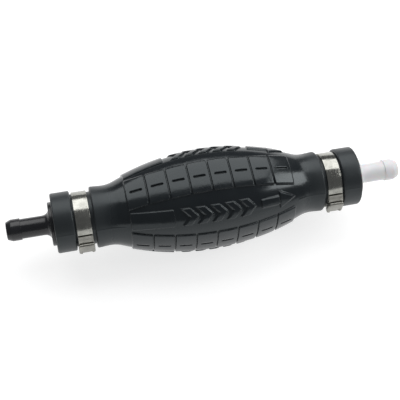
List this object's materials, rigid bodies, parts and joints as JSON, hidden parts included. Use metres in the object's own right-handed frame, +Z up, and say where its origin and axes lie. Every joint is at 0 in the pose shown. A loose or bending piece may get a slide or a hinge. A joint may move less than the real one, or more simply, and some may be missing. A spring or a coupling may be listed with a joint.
{
  "type": "siphon bulb pump",
  "caption": "Hand-squeezed in-line fuel siphon bulb: ribbed rubber bulb with raised grip panels and flow arrows, hose barb and check valve at each end, steel band clamps.",
  "frame": {"origin": "centre of the bulb on the pump's axis, midway between the two barb tips", "axes": "+X along the pump in the flow direction, from the black inlet barb to the white outlet barb; +Z up through the middle of the top grip panel; +Y away from the clamp buckles"},
  "size_m": [0.2032, 0.0496, 0.0496],
  "materials": {
    "bulb_rubber": "semi-gloss moulded rubber",
    "inlet_plastic": "satin black moulded plastic",
    "outlet_plastic": "satin natural white moulded plastic",
    "valve_plastic": "satin acetal",
    "valve_rubber": "fuel-resistant rubber",
    "spring_steel": "stainless spring wire",
    "clamp_steel": "bright stainless band"
  },
  "bodies": {
    "pump_body": {"squeeze_bulb": "bulb_rubber", "inlet_fitting": "inlet_plastic", "inlet_spring_retainer": "valve_plastic", "inlet_valve_spring": "spring_steel", "inlet_clamp_band": "clamp_steel", "inlet_clamp_buckle": "clamp_steel", "outlet_fitting": "outlet_plastic", "outlet_valve_seat": "valve_plastic", "outlet_seat_oring": "valve_rubber", "outlet_valve_spring": "spring_steel", "outlet_clamp_band": "clamp_steel", "outlet_clamp_buckle": "clamp_steel"},
    "squeeze_panel": {"grip_panel_top": "bulb_rubber"},
    "inlet_poppet": {"inlet_valve_poppet": "valve_plastic", "inlet_valve_seal": "valve_rubber"},
    "outlet_poppet": {"outlet_valve_poppet": "valve_plastic", "outlet_valve_seal": "valve_rubber"}
  },
  "joints": [
    {"name": "bulb_squeeze", "type": "slide", "parent": "pump_body", "child": "squeeze_panel", "axis": [0, 0, -1], "range_m": [0, 0.01], "stiffness_N_per_m": 2500, "deforming": ["squeeze_bulb"]},
    {"name": "inlet_valve_lift", "type": "slide", "parent": "pump_body", "child": "inlet_poppet", "axis": [1, 0, 0], "range_m": [0, 0.0022], "stiffness_N_per_m": 40, "springref_m": -0.003, "deforming": ["inlet_valve_spring"]},
    {"name": "outlet_valve_lift", "type": "slide", "parent": "pump_body", "child": "outlet_poppet", "axis": [1, 0, 0], "range_m": [0, 0.0022], "stiffness_N_per_m": 40, "springref_m": -0.003, "deforming": ["outlet_valve_spring"]}
  ]
}
